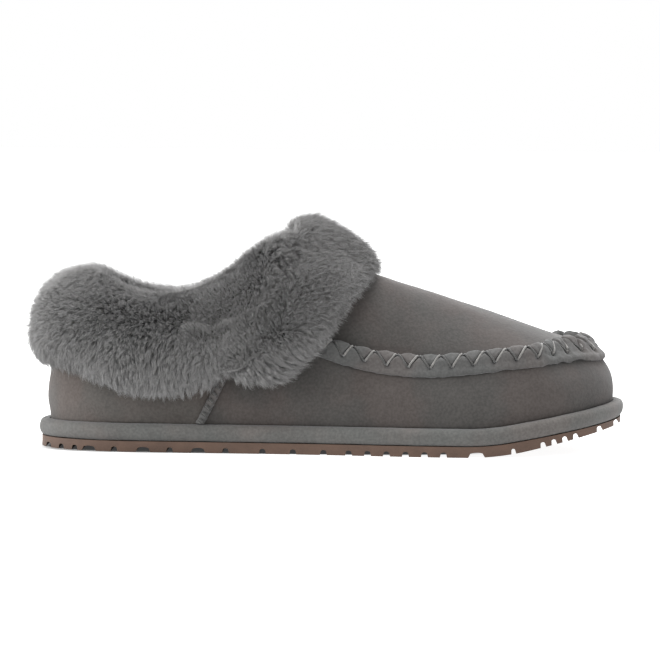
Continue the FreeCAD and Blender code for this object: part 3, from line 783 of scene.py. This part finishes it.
# How uneven the wool is. The first three are in millimetres, the turn is in radians along a hair, and
# the others are factors.
LUMP_HEIGHT = 0.9
HAIR_RISE = 0.35
CRIMP = 0.3
CRIMP_TURN = 9.0
TUFT_RISE = 0.7
LONGEST_STRAY = 2.0
USUAL_STRAY = 0.6
SWIRL = 0.7

# How the wool leans: the tip's reach in millimetres, the rest as shares of its depth.
TIP_REACH = 1.4
ROOT_REACH = 0.7
ELBOW_HEIGHT = 0.8
ELBOW_REACH = 0.08

# How the wool's tone goes from one hair to the next, counted in tones. The side and top terms are painted
# light: wool that faces up is paler, as if lit from above.
TUFT_TONE = 0.3
HAIR_TONE = 0.55
LUMP_TONE = 0.5
SIDE_PAINTED_LIGHT = 0.9
TOP_PAINTED_LIGHT = 2.0


def pile(tips, normals, depth, flow, slant, tuft_count, pull, ruffle, stray):
    """The spines of wool that is rooted below tips on a surface and leans with its flow, and their tones.

    Slant is how far the wool lies over, pull how far a tuft's hairs close up, ruffle how untidy each
    tuft is, and stray how far single hairs stand out, both in metres. Each but stray may be one number
    or one for each hair.
    """
    centres = tips[:tuft_count]
    tuft = nearest_of(tips, centres)
    lean = draw.normal(size=(tuft_count, 3))[tuft] * np.reshape(ruffle, (-1, 1))
    rise = draw.normal(size=tuft_count)[tuft] * ruffle * TUFT_RISE
    tuft_tone = draw.normal(size=tuft_count)[tuft]
    joining = pull * draw.random(len(tips)) ** 0.7
    swirl = np.stack([blobs(tips, size=20.0 * MM, seed=11.0 + 3 * k) for k in range(3)], axis=1)
    flow = along_surface(unit(flow) + swirl * SWIRL, normals)
    lumps = blobs(tips, size=13.0 * MM, seed=2.0)
    fly = (np.minimum(draw.exponential(size=len(tips)), LONGEST_STRAY) - USUAL_STRAY) * stray
    out = lumps * LUMP_HEIGHT * MM + rise + draw.normal(size=len(tips)) * HAIR_RISE * MM + fly
    top = tips + normals * out[:, None] + lean + flow * np.reshape(slant, (-1, 1)) * TIP_REACH * MM
    root = tips - normals * depth[:, None] - flow * (depth * ROOT_REACH * slant)[:, None]
    elbow = root + normals * (depth * ELBOW_HEIGHT)[:, None] + flow * (depth * ELBOW_REACH)[:, None]
    t = HAIR_POINTS[None, :, None]
    spines = (1 - t) ** 2 * root[:, None] + 2 * t * (1 - t) * elbow[:, None] + t ** 2 * top[:, None]
    spines = spines + (centres[tuft] - tips)[:, None] * joining[:, None, None] * t ** 1.6
    turn = draw.random((len(tips), 1, 3)) * 2 * math.pi
    crimp = np.sin(t * CRIMP_TURN + turn) * CRIMP * MM * t
    # Painted light: hairs that face up get paler tones, as if lit from above.
    painted_light = SIDE_PAINTED_LIGHT + TOP_PAINTED_LIGHT * smooth_step(normals[:, 2] * 1.3)
    hair_tone = draw.normal(size=len(tips)) * HAIR_TONE
    tone = np.round(tuft_tone * TUFT_TONE + hair_tone + lumps * LUMP_TONE + painted_light)
    return spines + crimp, np.clip(tone, 0, PALEST_ROOT).astype(int)


def add_wool(name, spines, tones, width):
    """Pieces of wool from spines, split so that none is too heavy."""
    narrowest, spread = 0.75, 0.5
    widths = width * (narrowest + spread * draw.random(len(spines)))
    order = np.argsort(spines[:, -1, 0])
    for number, chosen in enumerate(np.array_split(order, math.ceil(len(order) / HAIRS_PER_PIECE))):
        part_name = f"{name}_{number + 1:02d}"
        mesh = hair_mesh(part_name, spines[chosen], widths[chosen], tones[chosen])
        add_piece(part_name, mesh, wool)


def rear_comb(points, normals):
    """Which way the rear cuff's wool runs: outwards over the top of the collar and down."""
    middle_of_mouth = np.array([-62.0 * MM, 0.0, 0.0])
    outward = unit((points - middle_of_mouth) * np.array([1.0, 1.0, 0.0]))
    over_the_top = smooth_step(normals[:, 2:3] * 2.0)
    return outward * over_the_top + np.array([0.0, 0.0, -1.0])


def front_comb(points):
    """Which way the front cuff's wool runs: forwards off the throat and down the sides."""
    sideways = np.sign(points[:, 1:2]) * np.array([0.0, 0.35, 0.0])
    return np.array([0.85, 0.0, -0.55]) + sideways


def pelt_shape(nodes, voxel, closing):
    """One closed skin over several CAD nodes, with the creases between them filled."""
    points, triangles = cad_shape(*nodes)
    shape = bpy.data.objects.new("pelt", make_mesh("pelt", points, np.empty((0, 4), np.int32), triangles))
    bpy.context.scene.collection.objects.link(shape)
    for distance in (closing, -closing):
        even = shape.modifiers.new("even", "REMESH")
        even.mode = "VOXEL"
        even.voxel_size = voxel
        grow = shape.modifiers.new("grow", "DISPLACE")
        grow.mid_level = 0.0
        grow.strength = distance
    relax = shape.modifiers.new("relax", "SMOOTH")
    relax.iterations = 8
    graph = bpy.context.evaluated_depsgraph_get()
    mesh = bpy.data.meshes.new_from_object(shape.evaluated_get(graph))
    bpy.data.objects.remove(shape)
    return mesh


def tree_of_mesh(mesh):
    """A tree for casting rays at a mesh."""
    return BVHTree.FromPolygons([v.co for v in mesh.vertices], [p.vertices for p in mesh.polygons])


def matted_base(node, deepest):
    """The matted roots of a cuff's wool: the CAD cuff, drawn in below its surface."""
    skin = remeshed(node, voxel=1.5 * MM, rounding=8)
    points = points_of(skin)
    normals = normals_of(skin)
    depth = depth_below(points, normals, tree_of(node), limit=30.0 * MM)
    just_short_of_half = 0.42
    points -= normals * np.minimum(depth * just_short_of_half, deepest)[:, None]
    skin.vertices.foreach_set("co", points.astype(np.float32).ravel())
    skin.update()
    return add_piece(f"{node}_base", skin, [fleece_base], [node])


# Where the wool stands higher or lower along the top of the collar: X, width and height in millimetres.
COLLAR_SWELLS = ((-106.0, 14.0, 1.1), (-83.0, 17.0, 0.8), (-24.0, 12.0, 3.2), (16.0, 9.0, -2.2))
HEEL_PULL = 1.2


def wool_swell(points, normals):
    """How much further than the CAD cuffs the wool stands out, in metres: less where it is below zero."""
    x = points[:, 0] / MM
    swell = np.zeros(len(points))
    for centre, width, height in COLLAR_SWELLS:
        swell += height * ridge(x, centre, width)
    facing_up = smooth_step((normals[:, 2] + 0.1) / 0.7)
    facing_back = smooth_step((-normals[:, 0] - 0.3) / 0.5)
    at_heel = smooth_step((-100.0 - x) / 15.0)
    return (swell * facing_up - facing_back * at_heel * HEEL_PULL) * MM


def side_cleft(points):
    """How deep each point lies in the short cleft over the side seam, from 0 to 1."""
    start = np.array([-57.0, 51.0]) * MM
    end = np.array([-38.0, 54.5]) * MM
    waviness = 9.0
    wave_height = 0.7
    flat = points[:, [0, 2]]
    share = np.clip((flat - start) @ (end - start) / np.sum((end - start) ** 2), 0, 1)
    bend = np.sin(share * waviness)[:, None] * np.array([0.0, wave_height]) * MM
    away = flat - start - share[:, None] * (end - start) - bend
    return ridge(np.linalg.norm(away, axis=1), 0.0, width=1.5 * MM)


LONGEST_HAIR = 13.0 * MM
DEEPEST_ROOT = 6.0 * MM
COMB_BLEND = 18.0 * MM
HANG_TOP = 60.0 * MM
HANG_DROP = 30.0 * MM
CREASE_WIDTH = 9.0 * MM

# How deep the wool's hollows are, in millimetres.
CREASE_DEPTH = 1.6
CLEFT_DEPTH = 3.5


def distance_to(node, points):
    """How far each point is from a CAD node."""
    tree = tree_of(node)
    return np.array([tree.find_nearest(Vector(p))[3] for p in points.tolist()])


def cuffs(count, tuft_count):
    """The two sheepskin cuffs, as one pelt that is creased where they meet over the side seams.

    Hang goes to one low on the cuffs, crease and cleft to one in those hollows, on_top to one where the
    pelt faces up, and forward to one where the front cuff faces the toe.
    """
    names = ("rear_cuff", "front_cuff")
    pelt = pelt_shape(names, voxel=1.6 * MM, closing=4.0 * MM)
    tips, normals = sample(pelt, count)
    upper = tree_of("heel_quarter", "vamp_wall", "vamp_plug", "heel_lining")
    free = open_to_air(tips, normals, upper, distance=2.0 * MM)
    tips, normals = tips[free], normals[free]
    to_far_side = depth_below(tips, normals, tree_of_mesh(pelt), LONGEST_HAIR)
    almost_through = 0.92
    depth = np.minimum(to_far_side * almost_through, LONGEST_HAIR)
    from_rear, from_front = (distance_to(name, tips) for name in names)
    frontness = smooth_step((from_rear - from_front) / COMB_BLEND + 0.5)
    share = frontness[:, None]
    flow = rear_comb(tips, normals) * (1 - share) + front_comb(tips) * share
    crease = ridge(from_rear - from_front, 0.0, CREASE_WIDTH)
    hang = smooth_step((HANG_TOP - tips[:, 2]) / HANG_DROP)
    fuller = wool_swell(tips, normals) - crease * CREASE_DEPTH * MM
    cleft = side_cleft(tips)
    tips = tips + normals * (fuller - cleft * CLEFT_DEPTH * MM)[:, None]
    depth = depth + np.maximum(fuller, 0)
    ruffle = (0.4 + 0.25 * hang + 0.6 * crease) * MM
    pull = 0.34 + 0.22 * hang + 0.2 * crease
    on_top = smooth_step((normals[:, 2] - 0.4) / 0.5)
    slant = 0.3 + 0.5 * hang + 0.15 * crease + 0.7 * on_top
    spines, tones = pile(tips, normals, depth, flow, slant, tuft_count, pull, ruffle, stray=1.2 * MM)
    forward = smooth_step(normals[:, 0] * 1.5) * frontness
    # Painted light: paler wool where the front cuff faces the toe. Low on the cuffs some hairs are also
    # paler, at random.
    tones = tones + (hang * 0.3 > draw.random(len(tips))) + (forward > draw.random(len(tips)))
    # Painted shade: darker wool in the crease between the cuffs and in the cleft over the side seam.
    tones = tones - (crease > 0.4) - (crease > 0.75) - 2 * (cleft > 0.4)
    tones = np.clip(tones, 0, PALEST_ROOT)
    width = (0.2 - 0.05 * on_top) * MM
    nearer_rear = from_rear <= from_front
    for name, mine in zip(names, (nearer_rear, ~nearer_rear)):
        add_wool(f"{name}_wool", spines[mine], tones[mine], width[mine])
        matted_base(name, DEEPEST_ROOT)


cuffs(count=210000, tuft_count=9000)


# ---------------------------------------------------------------- the lining

LINING_PILE = 2.6 * MM
LINING_HAIR = 0.28 * MM
HAIRS_PER_TUFT = 10
FEWEST_TUFTS = 20


def lined(node, count):
    """A lining: its fleece backing, and its short pile on the side of the foot."""
    skin = remeshed(node, voxel=1.2 * MM, rounding=3)
    others = [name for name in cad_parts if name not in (node, "rear_cuff", "front_cuff")]
    tips, normals = sample(skin, count)
    free = open_to_air(tips, normals, tree_of(*others), distance=5.0 * MM)
    tips, normals = tips[free], normals[free]
    depth = np.full(len(tips), LINING_PILE)
    flow = np.tile([0.3, 0.0, -1.0], (len(tips), 1)) + normals[:, 2:3] * np.array([[1.0, 0.0, 0.0]])
    tuft_count = max(len(tips) // HAIRS_PER_TUFT, FEWEST_TUFTS)
    spines, tones = pile(tips, normals, depth, flow, slant=0.7, tuft_count=tuft_count,
                         pull=0.4, ruffle=0.4 * MM, stray=0.4 * MM)
    add_wool(f"{node}_pile", spines, tones, LINING_HAIR)
    return add_piece(f"{node}_base", skin, [fleece_base], [node])


lined("heel_lining", 30000)
lined("wall_lining", 8000)
lined("plug_lining", 6000)
lined("sock_lining", 16000)


# ---------------------------------------------------------------- the studio

def camera():
    """The camera: almost square on to the outer side, a little above it, and rolled by a trace."""
    aim = Vector((2.9 * MM, 0.0, 53.0 * MM))
    azimuth, elevation, roll = math.radians(1.2), math.radians(3.7), math.radians(0.4)
    distance, seen_width = 1.7, 0.2995
    back = Vector((math.sin(azimuth) * math.cos(elevation), -math.cos(azimuth) * math.cos(elevation),
                   math.sin(elevation)))
    data = bpy.data.cameras.new("camera")
    data.sensor_width = 36.0
    data.lens = data.sensor_width * distance / seen_width
    eye = bpy.data.objects.new("camera", data)
    eye.location = aim + back * distance
    eye.rotation_mode = "QUATERNION"
    eye.rotation_quaternion = (-back).to_track_quat("-Z", "Y") @ Quaternion((0, 0, 1), roll)
    bpy.context.scene.collection.objects.link(eye)
    bpy.context.scene.camera = eye


def area_light(name, place, aim, size, power):
    """A large soft lamp at a place, turned to an aim."""
    data = bpy.data.lights.new(name, "AREA")
    data.size = size
    data.energy = power
    lamp = bpy.data.objects.new(name, data)
    lamp.location = place
    lamp.rotation_mode = "QUATERNION"
    lamp.rotation_quaternion = (Vector(aim) - Vector(place)).to_track_quat("-Z", "Y")
    bpy.context.scene.collection.objects.link(lamp)


# The painted shadow under the sole, a patch where the floor does not glow: each axis with the patch's
# middle and half its width, in metres.
PAINTED_SHADOW = (("X", -0.026, 0.106), ("Y", 0.0, 0.04))
PAINTED_SHADOW_GLOW = 0.05
ROUNDED_SQUARE = 4.0
EDGE_START = 0.7
EDGE_STEEPNESS = 4.0


def glow_with_painted_shadow(tree):
    """White where the floor glows like a light table, and dark in a rounded patch under the sole, which is
    a painted shadow.
    """
    place = tree.nodes.new("ShaderNodeTexCoord")
    axes = tree.nodes.new("ShaderNodeSeparateXYZ")
    tree.links.new(place.outputs["Object"], axes.inputs["Vector"])
    powers = []
    for axis, middle, half in PAINTED_SHADOW:
        from_middle = math_node(tree, "SUBTRACT", axes.outputs[axis], middle)
        share = math_node(tree, "MULTIPLY", from_middle, 1 / half)
        powers.append(math_node(tree, "POWER", math_node(tree, "ABSOLUTE", share, 0.0), ROUNDED_SQUARE))
    past = math_node(tree, "SUBTRACT", math_node(tree, "ADD", *powers), EDGE_START)
    edge = math_node(tree, "MULTIPLY", past, EDGE_STEEPNESS, clamp=True)
    return math_node(tree, "MAXIMUM", edge, PAINTED_SHADOW_GLOW)


def studio():
    """A glowing white floor with a painted shadow under the sole, a white surround and soft lamps."""
    half_floor = 8.0
    floor_corners = np.array([[-1, -1, 0], [1, -1, 0], [1, 1, 0], [-1, 1, 0]]) * half_floor
    floor_mesh = make_mesh("floor", floor_corners, np.array([[0, 1, 2, 3]]))
    floor_material, floor_shader = new_material("floor", roughness=0.9)
    floor_shader.inputs["Base Color"].default_value = (0.35, 0.35, 0.35, 1.0)
    floor_shader.inputs["Emission Strength"].default_value = 0.92
    tree = floor_material.node_tree
    tree.links.new(glow_with_painted_shadow(tree), floor_shader.inputs["Emission Color"])
    floor_mesh.materials.append(floor_material)
    floor = bpy.data.objects.new("floor", floor_mesh)
    bpy.context.scene.collection.objects.link(floor)
    world = bpy.data.worlds.new("studio")
    world.use_nodes = True
    world.node_tree.nodes["Background"].inputs["Color"].default_value = (1.0, 1.0, 1.0, 1.0)
    world.node_tree.nodes["Background"].inputs["Strength"].default_value = 1.0
    bpy.context.scene.world = world
    slipper = (0, 0, 0.04)
    collar = (-0.03, 0, 0.09)
    area_light("key", place=(-0.35, -0.9, 1.25), aim=slipper, size=0.9, power=6.0)
    area_light("top", place=(0.0, 0.35, 1.3), aim=slipper, size=0.9, power=23.0)
    area_light("back", place=(0.0, 1.15, 0.6), aim=collar, size=0.7, power=16.0)
    area_light("heel", place=(-1.2, -0.25, 0.45), aim=slipper, size=0.7, power=14.0)
    bpy.context.scene.view_settings.view_transform = "Standard"


camera()
studio()
